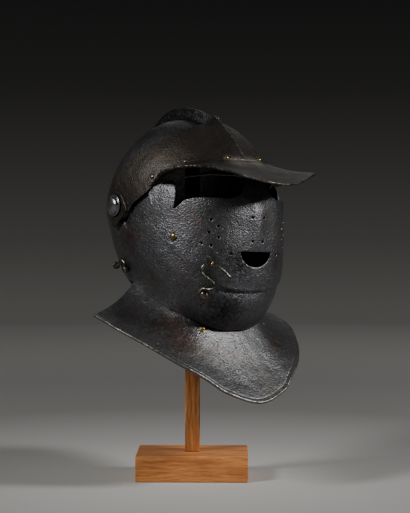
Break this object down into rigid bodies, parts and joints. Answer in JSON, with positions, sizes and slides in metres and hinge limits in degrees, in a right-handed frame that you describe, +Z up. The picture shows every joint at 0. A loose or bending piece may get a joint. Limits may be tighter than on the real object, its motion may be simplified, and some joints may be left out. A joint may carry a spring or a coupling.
{
  "type": "close helmet on a display stand",
  "caption": "Blackened steel close helmet with a face-shaped visor, peaked fall, combed skull and flared gorget plate, resting on a plain square wooden post and base.",
  "frame": {"origin": "middle of the underside of the stand's wooden base, where it rests on a surface", "axes": "+Z up; the helmet faces -Y; +X is towards the wearer's left"},
  "size_m": [0.2569, 0.2781, 0.4308],
  "materials": {
    "black_steel": "blackened hammered plate, slightly glossy, with pitting and worn bright edges",
    "brown_steel": "blackened plate gone brown-grey, satin, with worn bright edges",
    "worn_steel": "hand-forged, dulled and spotted",
    "brass": "aged, satin, dark at the edges",
    "wood": "plain sawn block and post, warm brown, thin waxed finish"
  },
  "bodies": {
    "skull_and_stand": {"skull": "black_steel", "pivot_left": "black_steel", "pivot_right": "black_steel", "neck_staple": "brass", "stand_base": "wood", "stand_post": "wood"},
    "lower_face": {"bevor": "black_steel", "gorget": "brown_steel", "gorget_rivet": "brass", "visor_hook_stud": "worn_steel", "neck_hook_stud": "worn_steel"},
    "upper_face": {"visor": "black_steel", "cheek_rivet_left": "brass", "cheek_rivet_right": "brass", "visor_staple": "brass"},
    "brow": {"fall": "brown_steel", "brow_rivet_left": "brass", "brow_rivet_right": "brass", "temple_rivet_left": "worn_steel", "temple_rivet_right": "worn_steel", "side_rivet_left": "worn_steel", "side_rivet_right": "worn_steel", "cusp_rivet": "worn_steel"},
    "front_hook": {"visor_hook": "worn_steel"},
    "side_hook": {"neck_hook": "worn_steel"}
  },
  "joints": [
    {"name": "bevor_raise", "type": "hinge", "parent": "skull_and_stand", "child": "lower_face", "pos_m": [0, 0.025, 0.313], "axis": [-0.9994, 0, 0.0349], "range_deg": [0, 40]},
    {"name": "visor_raise", "type": "hinge", "parent": "lower_face", "child": "upper_face", "pos_m": [0, 0.025, 0.313], "axis": [-0.9994, 0, 0.0349], "range_deg": [0, 50]},
    {"name": "fall_raise", "type": "hinge", "parent": "upper_face", "child": "brow", "pos_m": [0, 0.025, 0.313], "axis": [-0.9994, 0, 0.0349], "range_deg": [0, 30]},
    {"name": "visor_hook_turn", "type": "hinge", "parent": "lower_face", "child": "front_hook", "pos_m": [-0.05249, -0.09071, 0.2195], "axis": [-0.7033, -0.6585, -0.2679], "range_deg": [0, 75]},
    {"name": "neck_hook_turn", "type": "hinge", "parent": "lower_face", "child": "side_hook", "pos_m": [-0.07538, 0.01965, 0.24502], "axis": [-0.9121, 0.1523, -0.3806], "range_deg": [0, 75]}
  ]
}
